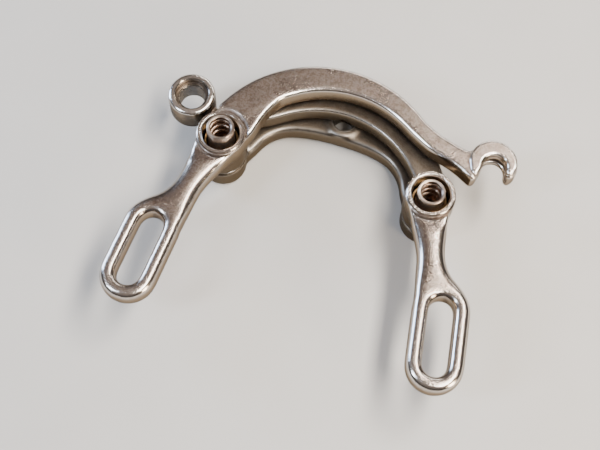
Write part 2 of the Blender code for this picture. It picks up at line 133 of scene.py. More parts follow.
# %% [markdown]
# ## Turned shapes
# Posts, bushings, collars and every bore are lathe work: one half section turned round an axis.
# A small helper makes a closed ring of faces from (radius, height) points. It serves for pieces
# that stay and for cutters.

# %% A lathe
LATHE_STEPS = 128


def add_object(name, bm):
    """Turns a bmesh in millimetres into an object of metres with outward faces."""
    bmesh.ops.remove_doubles(bm, verts=bm.verts, dist=1e-5)
    bmesh.ops.recalc_face_normals(bm, faces=bm.faces)
    bmesh.ops.scale(bm, vec=(MM, MM, MM), verts=bm.verts)
    mesh = bpy.data.meshes.new(name)
    bm.to_mesh(mesh)
    bm.free()
    obj = bpy.data.objects.new(name, mesh)
    bpy.context.scene.collection.objects.link(obj)
    return obj


def lathe(name, profile, centre, steps=LATHE_STEPS):
    """Turns a closed (radius, height) section about an upright axis."""
    bm = bmesh.new()
    rings = []
    for radius, height in profile:
        if radius < 1e-6:
            rings.append([bm.verts.new((centre[0], centre[1], height))])
            continue
        angles = [2 * math.pi * i / steps for i in range(steps)]
        rings.append([bm.verts.new((centre[0] + radius * math.cos(a),
                                    centre[1] + radius * math.sin(a), height)) for a in angles])
    for lower, upper in zip(rings, [*rings[1:], rings[0]]):
        for i in range(steps):
            j = (i + 1) % steps
            corners = [lower[i % len(lower)], lower[j % len(lower)],
                       upper[j % len(upper)], upper[i % len(upper)]]
            corners = list(dict.fromkeys(corners))
            if len(corners) > 2:
                bm.faces.new(corners)
    return add_object(name, bm)


def slab(name, outline, bottom, top, rounding=0.0, segments=4):
    """An outline raised between two heights, with rounded rims."""
    bm = bmesh.new()
    face = bm.faces.new([bm.verts.new((x, y, bottom)) for x, y in outline])
    raised = bmesh.ops.extrude_face_region(bm, geom=[face])["geom"]
    lifted = [item for item in raised if isinstance(item, bmesh.types.BMVert)]
    bmesh.ops.translate(bm, vec=(0, 0, top - bottom), verts=lifted)
    if rounding:
        rims = [e for e in bm.edges if abs(e.verts[0].co.z - e.verts[1].co.z) < 1e-6]
        bmesh.ops.bevel(bm, geom=rims, offset=rounding, segments=segments, profile=0.5,
                        affect="EDGES", clamp_overlap=True)
    return add_object(name, bm)


def arc(centre, radius, start, end, step=3.0):
    """Points along an arc between two angles in degrees."""
    count = max(2, math.ceil(abs(end - start) / step))
    angles = [math.radians(start + (end - start) * i / count) for i in range(count + 1)]
    return [(centre[0] + radius * math.cos(a), centre[1] + radius * math.sin(a)) for a in angles]


print("lathe and slab helpers ready")

# %% [markdown]
# ## Forgings
# A forging has no sharp inner corners: metal flows into every junction as a fillet, and the
# polisher rounds every outer edge. The CAD node has the right sections but hard junctions. A
# subdivision cage would have to be drawn for the whole arm. A voxel remesh of the CAD shape,
# relaxed a few times, gives the same flowing skin everywhere, so that is used. The holes are
# plugged first and cut again afterwards, because a machined edge stays crisp.

# %% Boolean, remesh and relax
VOXEL = 0.34
RELAX_ROUNDS = 15
LEG_ROUNDS, LEG_SWELL, FOOT_SWELL = 130, 0.55, 0.3
LEG_FADE, FOOT_FADE = 4.5, 5.0


def applied(obj, modifier):
    """Bakes a modifier into the object's mesh."""
    depsgraph = bpy.context.evaluated_depsgraph_get()
    mesh = bpy.data.meshes.new_from_object(obj.evaluated_get(depsgraph))
    obj.modifiers.remove(modifier)
    old, obj.data = obj.data, mesh
    bpy.data.meshes.remove(old)
    return obj


def boolean(obj, tools, operation):
    """Joins tools to an object or cuts them away, one after another."""
    for tool in tools:
        modifier = obj.modifiers.new("boolean", "BOOLEAN")
        modifier.operation = operation
        modifier.solver = "MANIFOLD"
        modifier.object = tool
        applied(obj, modifier)
        bpy.data.objects.remove(tool, do_unlink=True)
    return obj


def merged_copy(node, name):
    """A copy of a CAD node with its loose triangles joined."""
    bm = bmesh.new()
    bm.from_mesh(frame["nodes"][node].data)
    bmesh.ops.remove_doubles(bm, verts=bm.verts, dist=1e-7)
    mesh = bpy.data.meshes.new(name)
    bm.to_mesh(mesh)
    bm.free()
    obj = bpy.data.objects.new(name, mesh)
    bpy.context.scene.collection.objects.link(obj)
    return obj


def edge_table(mesh):
    """Vertex places and edges as arrays."""
    places = np.empty(len(mesh.vertices) * 3)
    mesh.vertices.foreach_get("co", places)
    ends = np.empty(len(mesh.edges) * 2, dtype=np.int64)
    mesh.edges.foreach_get("vertices", ends)
    return places.reshape(-1, 3), ends.reshape(-1, 2)


def neighbour_mean(values, ends, count):
    """The mean of each vertex's neighbours, for one value or several."""
    values = values.reshape(count, -1)
    weight = np.bincount(ends.ravel(), minlength=count)[:, None]
    total = np.stack([
        np.bincount(ends[:, 0], values[ends[:, 1], k], count)
        + np.bincount(ends[:, 1], values[ends[:, 0], k], count)
        for k in range(values.shape[1])], axis=1)
    return total / np.maximum(weight, 1)


def relax(obj, rounds):
    """Moves each vertex half way to its neighbours' mean, several times over."""
    places, ends = edge_table(obj.data)
    for _ in range(rounds):
        places = 0.5 * places + 0.5 * neighbour_mean(places, ends, len(places))
    obj.data.vertices.foreach_set("co", places.ravel())
    obj.data.update()
    return obj


def skin(blank, rounds):
    """Covers a solid with small even faces and relaxes them."""
    modifier = blank.modifiers.new("remesh", "REMESH")
    modifier.mode = "VOXEL"
    modifier.voxel_size = VOXEL * MM
    modifier.adaptivity = 0.0
    return relax(applied(blank, modifier), rounds)


def forge(node, name, plugs):
    """The flowing skin of a forging, made from a CAD node with its holes plugged."""
    blank = skin(boolean(merged_copy(node, name), plugs, "UNION"), RELAX_ROUNDS)
    print(name, "skin of", len(blank.data.polygons), "faces")
    return blank


def step_between(values, low, high):
    """A smooth step from 0 at low to 1 at high."""
    t = np.clip((values - low) / (high - low), 0, 1)
    return t * t * (3 - 2 * t)


def vertex_normals(mesh):
    """The vertex normals as an array."""
    normals = np.empty(len(mesh.vertices) * 3)
    mesh.vertices.foreach_get("normal", normals)
    return normals.reshape(-1, 3)


def round_leg(arm, below, foot_from):
    """Rounds the leg into a bar and the foot's rails into rods, and makes up their thickness."""
    places, ends = edge_table(arm.data)
    leg = step_between(-places[:, 1] / MM, -below, -below + LEG_FADE)
    foot = step_between(-places[:, 1] / MM, -foot_from, -foot_from + FOOT_FADE)
    share = (0.5 * leg * (1 - 0.7 * foot))[:, None]
    for _ in range(LEG_ROUNDS):
        places += share * (neighbour_mean(places, ends, len(places)) - places)
    arm.data.vertices.foreach_set("co", places.ravel())
    arm.data.update()
    swell = (LEG_SWELL * leg * (1 - foot) + FOOT_SWELL * foot) * MM
    places += vertex_normals(arm.data) * swell[:, None]
    arm.data.vertices.foreach_set("co", places.ravel())
    arm.data.update()
    return arm


print("forging helpers ready, skin faces of", VOXEL, "mm")

# %% [markdown]
# ## Boss collars
# Each arm ends in a boss that was faced and bored after forging. Its rim is a low collar with a
# bright edge, and a shallow groove parts the collar from the skin. The groove and the bore are
# turned cutters, and the collar is what they leave standing.

# %% Cutters for the bosses
BORE_RADIUS = 5.4
COLLAR_RADIUS = 6.75
SPRING_POCKET_RADIUS = 5.9
SPRING_POCKET_TOP = 12.875
SPRING_ANGLE = 190
COIL_RADIUS, COIL_TURNS, COIL_PITCH, COIL_START = 4.9, 2.25, 1.5, 8.65
BOSS_BOTTOM = 8.0
FACING_RADIUS = 9.6


def boss_plug(centre):
    """Fills a boss, and stands a little proud so that facing it leaves a flat."""
    radius = SPRING_POCKET_RADIUS + 0.3
    return lathe("plug", [(0, BOSS_BOTTOM), (radius, BOSS_BOTTOM), (radius, BOSS_TOP + 0.6),
                          (0, BOSS_TOP + 0.6)], centre, 48)


def boss_collar(centre):
    """The full height that the facing cut works on."""
    radius = COLLAR_RADIUS + 0.1
    return lathe("collar", [(0, BOSS_TOP - 4), (radius, BOSS_TOP - 4), (radius, BOSS_TOP + 0.5),
                            (0, BOSS_TOP + 0.5)], centre)


def boss_cutters(centre):
    """Facing cut, collar groove and stepped bore."""
    top = BOSS_TOP
    out = FACING_RADIUS
    facing = [(COLLAR_RADIUS - 0.16, top + 2), (COLLAR_RADIUS - 0.16, top),
              (COLLAR_RADIUS, top - 0.16), (COLLAR_RADIUS + 0.02, top - 0.95),
              (COLLAR_RADIUS + 0.25, top - 1.1), (COLLAR_RADIUS + 0.6, top - 0.98),
              (COLLAR_RADIUS + 1.3, top - 0.62), (out, top - 0.05), (out, top + 2)]
    plane = [(0, top), *[(BORE_RADIUS + step, top) for step in (0.62, 0.74, 0.86, 0.98, 1.1)],
             (out, top), (out, top + 3), (0, top + 3)]
    bore = [(0, 6), (SPRING_POCKET_RADIUS, 6), (SPRING_POCKET_RADIUS, SPRING_POCKET_TOP),
            (BORE_RADIUS, SPRING_POCKET_TOP), (BORE_RADIUS, top - 0.5),
            (BORE_RADIUS + 0.42, top - 0.06), (BORE_RADIUS + 0.5, top),
            (BORE_RADIUS + 0.5, top + 3), (0, top + 3)]
    return [lathe("plane", plane, centre), lathe("facing", facing, centre),
            lathe("bore", bore, centre)]


def spring_notch(centre, mirrored, turn):
    """The slot in the back of a boss that takes the spring's upper tail."""
    half, near, far = 0.85, 3.9, 8.15
    angle = math.radians(SPRING_ANGLE)
    corners = []
    for along, aside in ((near, half), (far, half), (far, -half), (near, -half)):
        x = along * math.cos(angle) - aside * math.sin(angle)
        y = along * math.sin(angle) + aside * math.cos(angle)
        x *= mirrored
        c, s = math.cos(turn), math.sin(turn)
        corners.append((centre[0] + x * c - y * s, centre[1] + x * s + y * c))
    return slab("notch", corners, 6, SPRING_POCKET_TOP, 0)


print("collar of", COLLAR_RADIUS * 2, "mm round a bore of", BORE_RADIUS * 2, "mm")

# %% [markdown]
# ## The hook arm
# The front arm. Its leg is a rounded bar down to the slotted foot, its arc is a broad flat
# band, and past a notch the neck runs into an open hook. The hook's front is a C that stands
# slightly proud of the neck, and a groove for the cable's nipple runs round inside its mouth.
# A web that the CAD node lacks fills the corner between the arc and the boss.

# %% Forge and machine the hook arm
HOOK = (SEAT[0] - 0.6, SEAT[1] + 1.2)
HOOK_RADIUS = 7.1
SEAT_RADIUS = 3.25
MID_HEIGHT = FACE_TOP - 3.25

LEG_FROM, FOOT_FROM = -24.5, -40.0
web_edge = [(13.2, 16.0), (11.7, 13.5), (10.5, 11.0), (9.7, 8.5), (9.15, 6.0), (8.5, 3.0),
            (7.4, 0.1), (5.6, -3.2), (2.0, -1.0), (4.0, 6.0), (8.0, 14.0)]
web_fillet = slab("web_fillet", [(PIVOT["left"][0] + x, PIVOT["left"][1] + y) for x, y in web_edge],
                  FACE_TOP - 6.4, FACE_TOP - 0.1, 0.0)
hook_arm = forge("hook_arm", "hook_arm_forging", [boss_plug(PIVOT["left"]), web_fillet])
round_leg(hook_arm, LEG_FROM, FOOT_FROM)
hook_front = slab(
    "hook_front",
    [*arc(HOOK, HOOK_RADIUS - 0.25, 205, 2), (HOOK[0] + 6.3, HOOK[1] - 1.9),
     (HOOK[0] + 5.2, HOOK[1] - 2.9), (SEAT[0] + SEAT_RADIUS + 0.45, SEAT[1] - 1.0),
     *arc(SEAT, SEAT_RADIUS + 0.3, -4, 188), (HOOK[0] - 2.9, HOOK[1] - 3.2),
     (HOOK[0] - 3.5, HOOK[1] - 5.0), (HOOK[0] - 4.3, HOOK[1] - 5.7),
     (HOOK[0] - 5.5, HOOK[1] - 4.6)],
    FACE_TOP - 2.5, FACE_TOP + 0.6, 0.4)
skin(hook_front, 5)
boolean(hook_arm, [hook_front, boss_collar(PIVOT["left"])], "UNION")
nipple_groove = lathe(
    "groove", [(0, MID_HEIGHT - 0.9), (SEAT_RADIUS + 1.3, MID_HEIGHT - 0.9),
               (SEAT_RADIUS + 1.4, MID_HEIGHT), (SEAT_RADIUS + 1.3, MID_HEIGHT + 0.9),
               (0, MID_HEIGHT + 0.9)], SEAT)
boolean(hook_arm, [*boss_cutters(PIVOT["left"]), spring_notch(PIVOT["left"], 1, 0.0),
                   nipple_groove], "DIFFERENCE")
print("hook arm", len(hook_arm.data.polygons), "faces")

# %% [markdown]
# ## The eye arm
# The rear arm is the other hand of the same leg and boss. Its arc lies lower, so that it passes
# behind the hook arm's arc, and ends in a ring. The ring has a through bore and a wider recess
# in front, where the straddle cable's round anchor sits.

# %% Forge and machine the eye arm
EYE_ARM_DROP, PIVOT_SPACING = 4.4, 62.0
EYE_REST = math.asin(EYE_ARM_DROP / PIVOT_SPACING)
EYE_TOP = 18.0
EYE_BOTTOM = 9.7
EYE_BORE, EYE_RECESS, EYE_RADIUS = 3.75, 4.9, 6.9


def eye_plug():
    """Fills the ring before its skin is made."""
    radius = EYE_RECESS + 0.3
    return lathe("plug", [(0, EYE_BOTTOM), (radius, EYE_BOTTOM), (radius, EYE_TOP), (0, EYE_TOP)],
                 EYE, 48)


def eye_cutter():
    """Through bore and front recess of the ring."""
    step = EYE_TOP - 2.0
    return lathe("eye_bore", [
        (0, EYE_BOTTOM - 2), (EYE_BORE + 0.4, EYE_BOTTOM - 2), (EYE_BORE + 0.4, EYE_BOTTOM),
        (EYE_BORE, EYE_BOTTOM + 0.4), (EYE_BORE, step - 0.3), (EYE_BORE + 0.3, step),
        (EYE_RECESS - 0.15, step), (EYE_RECESS, step + 0.15), (EYE_RECESS, EYE_TOP - 0.3),
        (EYE_RECESS + 0.3, EYE_TOP), (EYE_RECESS + 0.3, EYE_TOP + 2), (0, EYE_TOP + 2)], EYE)


def eye_barrel():
    """The turned outside of the ring, with an eased front rim."""
    low, high, out = EYE_BOTTOM, EYE_TOP, EYE_RADIUS
    return lathe("barrel", [(0, low), (out - 0.7, low), (out - 0.2, low + 0.25), (out, low + 0.8),
                            (out, high - 1.1), (out - 0.1, high - 0.66), (out - 0.36, high - 0.3),
                            (out - 0.75, high - 0.08), (out - 1.15, high), (0, high)], EYE)


eye_arm = forge("eye_arm", "eye_arm_forging", [boss_plug(PIVOT["right"]), eye_plug()])
round_leg(eye_arm, LEG_FROM, FOOT_FROM)
boolean(eye_arm, [boss_collar(PIVOT["right"]), eye_barrel()], "UNION")
boolean(eye_arm, [*boss_cutters(PIVOT["right"]), spring_notch(PIVOT["right"], -1, EYE_REST),
                  eye_cutter()], "DIFFERENCE")
print("eye arm", len(eye_arm.data.polygons), "faces")

# %% [markdown]
# ## The bridge
# The back plate is one forging too: an arch with a round boss at each end, which carries a
# post, and a drilled boss in the middle, which the caliper hangs from. Its end bosses were
# faced, which leaves a small step round each of them.

# %% Forge and machine the bridge
CENTRE_HOLE = 3.1


def bridge_hole(side):
    """Stepped hole for a post's shank and rivet."""
    return lathe("hole", [(0, -2), (4.7, -2), (4.7, 1.7), (3.5, 1.7), (3.5, BRIDGE_TOP + 2),
                          (0, BRIDGE_TOP + 2)], PIVOT[side])


def tail_hole(side):
    """The small hole for a spring's lower tail."""
    mirrored = 1 if side == "left" else -1
    angle = math.radians(SPRING_ANGLE - 360 * COIL_TURNS)
    x = PIVOT[side][0] + mirrored * COIL_RADIUS * math.cos(angle)
    y = PIVOT[side][1] + COIL_RADIUS * math.sin(angle)
    return lathe("tail", [(0, 3.5), (0.85, 3.5), (0.85, BRIDGE_TOP + 2), (0, BRIDGE_TOP + 2)],
                 (x, y), 24)


def end_step(side):
    """The small step left by facing an end boss."""
    top = BRIDGE_TOP
    return lathe("step", [(6.15, top + 1), (6.15, top), (6.4, top - 0.25), (6.4, top - 0.95),
                          (6.6, top - 1.1), (7.6, top - 0.95), (7.6, top + 1)], PIVOT[side])


bridge = forge("bridge", "bridge_forging", [
    lathe("plug", [(0, 0), (4.9, 0), (4.9, BRIDGE_TOP), (0, BRIDGE_TOP)], PIVOT[side], 48)
    for side in PIVOT] + [
    lathe("plug", [(0, 0), (3.6, 0), (3.6, 7.2), (0, 7.2)], BOLT_HOLE, 48)])
bolt_cutter = lathe("bolt", [(0, -2), (CENTRE_HOLE + 0.3, -2), (CENTRE_HOLE + 0.3, 0),
                             (CENTRE_HOLE, 0.3), (CENTRE_HOLE, 6.9), (CENTRE_HOLE + 0.3, 7.2),
                             (CENTRE_HOLE + 0.3, 9), (0, 9)], BOLT_HOLE)
boolean(bridge, [bolt_cutter] + [make(side) for side in PIVOT
                                 for make in (end_step, bridge_hole, tail_hole)], "DIFFERENCE")
print("bridge", len(bridge.data.polygons), "faces")

# %% [markdown]
# ## Wear marks and painted shade on the skin
# Hands and cloths polish what stands out and leave grime in what lies back. Both follow the
# curvature of the surface, so it is measured once on each finished mesh, from how the normals
# spread along its edges, and stored as point attributes that the finishes read. Three more
# mark the flat front faces, which keep the fine pits of the forging, the side walls, which get a
# darker golden colour as a painted reflection of the bench with painted shade, and the low parts
# under the front arm, which get a dark painted shade.

# %% Measure edges, creases and faces
def store(mesh, name, values):
    """Keeps one value per vertex as a point attribute."""
    attribute = mesh.attributes.new(name, "FLOAT", "POINT")
    attribute.data.foreach_set("value", values.astype(np.float32).ravel())


# The low parts under the front arm fade into a dark painted shade between these heights.
SHADE_TOP, SHADE_BOTTOM = FACE_TOP - 2.0, FACE_TOP - 7.0


def mark_wear(obj):
    """Stores the attributes edge, crease, face, wall and deep."""
    mesh = obj.data
    places, ends = edge_table(mesh)
    count = len(places)
    normals = vertex_normals(mesh)
    along = places[ends[:, 1]] - places[ends[:, 0]]
    spread = np.einsum("ij,ij->i", normals[ends[:, 1]] - normals[ends[:, 0]], along)
    length = np.maximum(np.linalg.norm(along, axis=1), 1e-7)
    bend = np.clip(spread / length, -0.8, 0.8)
    total = np.bincount(ends[:, 0], bend, count) + np.bincount(ends[:, 1], bend, count)
    reach = np.bincount(ends[:, 0], length, count) + np.bincount(ends[:, 1], length, count)
    curvature = total / reach * MM
    for _ in range(4):
        curvature = 0.5 * curvature + 0.5 * neighbour_mean(curvature, ends, count).ravel()
    store(mesh, "edge", step_between(curvature, 0.12, 0.42))
    store(mesh, "crease", step_between(-curvature, 0.05, 0.3))
    flat = step_between(normals[:, 2], 0.9, 0.99)
    for _ in range(6):
        flat = 0.5 * flat + 0.5 * neighbour_mean(flat, ends, count).ravel()
    store(mesh, "face", flat)
    # The side walls get a darker golden colour from this mask, a painted reflection of the bench
    # with painted shade.
    store(mesh, "wall", 1 - step_between(np.abs(normals[:, 2]), 0.05, 0.6))
    # Painted shade: a mask for the low parts under the front arm, which the finishes darken.
    store(mesh, "under_arm_shade", step_between(-places[:, 2] / MM, -SHADE_TOP, -SHADE_BOTTOM))
    return curvature


for forging in (hook_arm, eye_arm, bridge):
    forging.data.shade_smooth()
    forging.data.set_sharp_from_angle(angle=math.radians(38))
    measured = mark_wear(forging)
    print(forging.name, "curvature 1/mm", np.round(np.percentile(measured, (2, 50, 98)), 2))

# %% [markdown]
# ## Threads
# The posts are tapped for the pivot bolts. A thread is a shape that follows a rule, one
# ridge along a helix, so Geometry Nodes make it: a spiral curve, swept with a small six-sided
# section, joined to the turned post. Radius, pitch, turns and ridge size are the
# tree's named inputs.

# %% A node tree that cuts a thread into a post
def number_input(tree, name, value, kind="NodeSocketFloat"):
    socket = tree.interface.new_socket(name, in_out="INPUT", socket_type=kind)
    if value is not None:
        socket.default_value = value
    return socket


def thread_tree():
    """A helical ridge joined to a post, with named inputs."""
    tree = bpy.data.node_groups.new("tapped_thread", "GeometryNodeTree")
    number_input(tree, "Post", None, "NodeSocketGeometry")
    number_input(tree, "Thread Radius", 3.0 * MM)
    number_input(tree, "Ridge", 0.5 * MM)
    number_input(tree, "Pitch", 1.0 * MM)
    number_input(tree, "Turns", 12.0)
    number_input(tree, "Place", (0.0, 0.0, 0.0), "NodeSocketVector")
    number_input(tree, "Finish", None, "NodeSocketMaterial")
    tree.interface.new_socket("Post", in_out="OUTPUT", socket_type="NodeSocketGeometry")
    add, link = tree.nodes.new, tree.links.new
    given = add("NodeGroupInput").outputs
    height = add("ShaderNodeMath")
    height.operation = "MULTIPLY"
    link(given["Pitch"], height.inputs[0])
    link(given["Turns"], height.inputs[1])
    spiral = add("GeometryNodeCurveSpiral")
    spiral.inputs["Resolution"].default_value = 48
    link(given["Turns"], spiral.inputs["Rotations"])
    link(given["Thread Radius"], spiral.inputs["Start Radius"])
    link(given["Thread Radius"], spiral.inputs["End Radius"])
    link(height.outputs[0], spiral.inputs["Height"])
    section = add("GeometryNodeCurvePrimitiveCircle")
    section.inputs["Resolution"].default_value = 6
    link(given["Ridge"], section.inputs["Radius"])
    sweep = add("GeometryNodeCurveToMesh")
    sweep.inputs["Fill Caps"].default_value = True
    link(spiral.outputs["Curve"], sweep.inputs["Curve"])
    link(section.outputs["Curve"], sweep.inputs["Profile Curve"])
    move = add("GeometryNodeTransform")
    link(sweep.outputs["Mesh"], move.inputs["Geometry"])
    link(given["Place"], move.inputs["Translation"])
    join = add("GeometryNodeJoinGeometry")
    link(given["Post"], join.inputs["Geometry"])
    link(move.outputs["Geometry"], join.inputs["Geometry"])
    realize = add("GeometryNodeRealizeInstances")
    link(join.outputs["Geometry"], realize.inputs["Geometry"])
    finish = add("GeometryNodeSetMaterial")
    link(realize.outputs["Geometry"], finish.inputs["Geometry"])
    link(given["Finish"], finish.inputs["Material"])
    link(finish.outputs["Geometry"], add("NodeGroupOutput").inputs[0])
    return tree


def run_tree(obj, tree, values):
    """Sets a tree's inputs by their identifiers and bakes its result."""
    modifier = obj.modifiers.new(tree.name, "NODES")
    modifier.node_group = tree
    for item in tree.interface.items_tree:
        if item.item_type == "SOCKET" and item.in_out == "INPUT" and item.name in values:
            modifier[item.identifier] = values[item.name]
    return applied(obj, modifier)


THREAD = thread_tree()
print("thread tree with", len(THREAD.nodes), "nodes")

# %% [markdown]
# ## Finishes
# Four effects are shared: the fine pits of a forged face, the hairline scratches of polishing
# cloth, turning marks round an axis, and the blend of worn edges and grimy creases. Each is a
# node group that puts out masks and colours. The metals themselves keep their own Principled
# shader, so that each can be tuned.

# %% Helpers for node groups
def shader_group(name, inputs, outputs):
    """A new shader node group with its sockets made."""
    tree = bpy.data.node_groups.new(name, "ShaderNodeTree")
    for label, kind, value in inputs:
        socket = tree.interface.new_socket(label, in_out="INPUT", socket_type=f"NodeSocket{kind}")
        if value is not None:
            socket.default_value = value
    for label, kind in outputs:
        tree.interface.new_socket(label, in_out="OUTPUT", socket_type=f"NodeSocket{kind}")
    return tree, tree.nodes.new("NodeGroupInput").outputs, tree.nodes.new("NodeGroupOutput").inputs


def wire(tree, source, target):
    """Links a socket, or sets a plain value."""
    if isinstance(source, bpy.types.NodeSocket):
        tree.links.new(source, target)
    else:
        target.default_value = source


def math_node(tree, operation, a, b=0.5):
    node = tree.nodes.new("ShaderNodeMath")
    node.operation = operation
    wire(tree, a, node.inputs[0])
    wire(tree, b, node.inputs[1])
    return node.outputs[0]


def mix_colour(tree, share, a, b):
    node = tree.nodes.new("ShaderNodeMix")
    node.data_type = "RGBA"
    wire(tree, share, node.inputs["Factor"])
    wire(tree, a, node.inputs[6])
    wire(tree, b, node.inputs[7])
    return node.outputs[2]


def mix_value(tree, share, a, b):
    node = tree.nodes.new("ShaderNodeMix")
    wire(tree, share, node.inputs["Factor"])
    wire(tree, a, node.inputs[2])
    wire(tree, b, node.inputs[3])
    return node.outputs[0]


def noise(tree, place, scale, detail=2.0, roughness=0.5):
    node = tree.nodes.new("ShaderNodeTexNoise")
    wire(tree, place, node.inputs["Vector"])
    wire(tree, scale, node.inputs["Scale"])
    node.inputs["Detail"].default_value = detail
    node.inputs["Roughness"].default_value = roughness
    return node.outputs["Fac"]


def remap(tree, value, low, high, to_low=0.0, to_high=1.0):
    node = tree.nodes.new("ShaderNodeMapRange")
    node.interpolation_type = "SMOOTHSTEP"
    wire(tree, value, node.inputs["Value"])
    for label, number in (("From Min", low), ("From Max", high), ("To Min", to_low),
                          ("To Max", to_high)):
        node.inputs[label].default_value = number
    return node.outputs["Result"]


def stretched(tree, place, scale, turn=0.0):
    node = tree.nodes.new("ShaderNodeMapping")
    wire(tree, place, node.inputs["Vector"])
    node.inputs["Scale"].default_value = scale
    node.inputs["Rotation"].default_value = (0, 0, math.radians(turn))
    return node.outputs["Vector"]


# %% Pits, scratches, turning marks and wear
def pits_group():
    """Where the fine pits are, as a mask, which serves as their depth too."""
    tree, given, out = shader_group(
        "forging_pits", [("Place", "Vector", None), ("Pit Scale", "Float", 2300.0),
                         ("Amount", "Float", 1.0)], [("Pits", "Float")])
    fine = noise(tree, given["Place"], given["Pit Scale"], 3.0, 0.6)
    coarse = noise(tree, given["Place"], math_node(tree, "MULTIPLY", given["Pit Scale"], 0.3), 2.0)
    pits = remap(tree, math_node(tree, "ADD", fine, math_node(tree, "MULTIPLY", coarse, 0.5)),
                 0.66, 0.86)
    wire(tree, math_node(tree, "MULTIPLY", pits, given["Amount"]), out["Pits"])
    return tree


def scratches_group():
    """Hairline scratches in three directions."""
    tree, given, out = shader_group(
        "cloth_scratches", [("Place", "Vector", None), ("Amount", "Float", 1.0)],
        [("Scratches", "Float")])
    total = 0.0
    for turn, across in ((18, 2600.0), (-37, 2100.0), (74, 1800.0)):
        place = stretched(tree, given["Place"], (across, 70.0, across), turn)
        line = remap(tree, noise(tree, place, 1.0, 1.0), 0.66, 0.8)
        total = line if total == 0.0 else math_node(tree, "MAXIMUM", total, line)
    gaps = remap(tree, noise(tree, given["Place"], 120.0, 2.0), 0.45, 0.7)
    lines = math_node(tree, "MULTIPLY", total, gaps)
    wire(tree, math_node(tree, "MULTIPLY", lines, given["Amount"]), out["Scratches"])
    return tree


def turning_group():
    """Fine lines left by a lathe, which change only with height."""
    tree, given, out = shader_group(
        "turning_marks", [("Place", "Vector", None), ("Lines", "Float", 4000.0)],
        [("Marks", "Float")])
    place = stretched(tree, given["Place"], (0.04, 0.04, 1.0))
    wire(tree, noise(tree, place, given["Lines"], 2.0), out["Marks"])
    return tree


def wear_group():
    """Blends the skin's colour and roughness towards bright edges and grimy creases."""
    tree, given, out = shader_group(
        "edge_wear",
        [("Place", "Vector", None), ("Edge", "Float", 0.0), ("Crease", "Float", 0.0),
         ("Skin Colour", "Color", (0.6, 0.56, 0.52, 1)),
         ("Edge Colour", "Color", (0.9, 0.88, 0.86, 1)),
         ("Grime Colour", "Color", (0.1, 0.07, 0.05, 1)), ("Skin Roughness", "Float", 0.3)],
        [("Colour", "Color"), ("Roughness", "Float")])
    broken = noise(tree, given["Place"], 700.0, 3.0, 0.6)
    edge = math_node(tree, "MULTIPLY", given["Edge"], remap(tree, broken, 0.2, 0.6, 0.45, 1.0))
    grime = math_node(tree, "MULTIPLY", given["Crease"], remap(tree, broken, 0.3, 0.7, 0.25, 0.95))
    colour = mix_colour(tree, edge, given["Skin Colour"], given["Edge Colour"])
    wire(tree, mix_colour(tree, grime, colour, given["Grime Colour"]), out["Colour"])
    shiny = mix_value(tree, edge, given["Skin Roughness"], 0.13)
    wire(tree, mix_value(tree, grime, shiny, 0.62), out["Roughness"])
    return tree


PITS, SCRATCHES = pits_group(), scratches_group()
TURNING, WEAR = turning_group(), wear_group()
print("shared finishes:", [g.name for g in (PITS, SCRATCHES, TURNING, WEAR)])


# %% Place a group in a material
def use_group(tree, group, values):
    node = tree.nodes.new("ShaderNodeGroup")
    node.node_tree = group
    for label, value in values.items():
        wire(tree, value, node.inputs[label])
    return node.outputs


def attribute_value(tree, name):
    """Reads one of the stored point attributes."""
    node = tree.nodes.new("ShaderNodeAttribute")
    node.attribute_name = name
    return node.outputs["Fac"]


def new_metal(name, metallic=1.0):
    material = bpy.data.materials.new(name)
    material.use_nodes = True
    tree = material.node_tree
    shader = tree.nodes["Principled BSDF"]
    shader.inputs["Metallic"].default_value = metallic
    return material, tree, shader, tree.nodes.new("ShaderNodeTexCoord").outputs["Object"]


def bump(tree, shader, height, distance, strength=1.0):
    node = tree.nodes.new("ShaderNodeBump")
    node.inputs["Distance"].default_value = distance
    node.inputs["Strength"].default_value = strength
    wire(tree, height, node.inputs["Height"])
    wire(tree, node.outputs["Normal"], shader.inputs["Normal"])


# %% [markdown]
# ### Polished forged aluminium
# The skin is old polished aluminium, warm grey. The flat fronts are duller and browner, full of
# fine pits and rubbed spots. Edges are bright, and creases hold dark grime. Side walls take a
# darker golden colour, a painted reflection of the bench with painted shade, and the low parts
# under the front arm a dark painted shade. The arms and the bridge share this recipe, each with
# its own colours, and the bridge's darker colours are painted shade.

# %% Aluminium for the forgings
STAIN = (0.26, 0.16, 0.10, 1)
PIT_COLOUR = (0.13, 0.085, 0.065, 1)
# A darker golden colour for side walls: a painted reflection of the bench with painted shade.
WALL_REFLECTION_SHADE_COLOUR = (0.27, 0.2, 0.125, 1)
# A dark painted shade for the low parts under the front arm.
UNDER_ARM_SHADE_COLOUR = (0.11, 0.09, 0.068, 1)


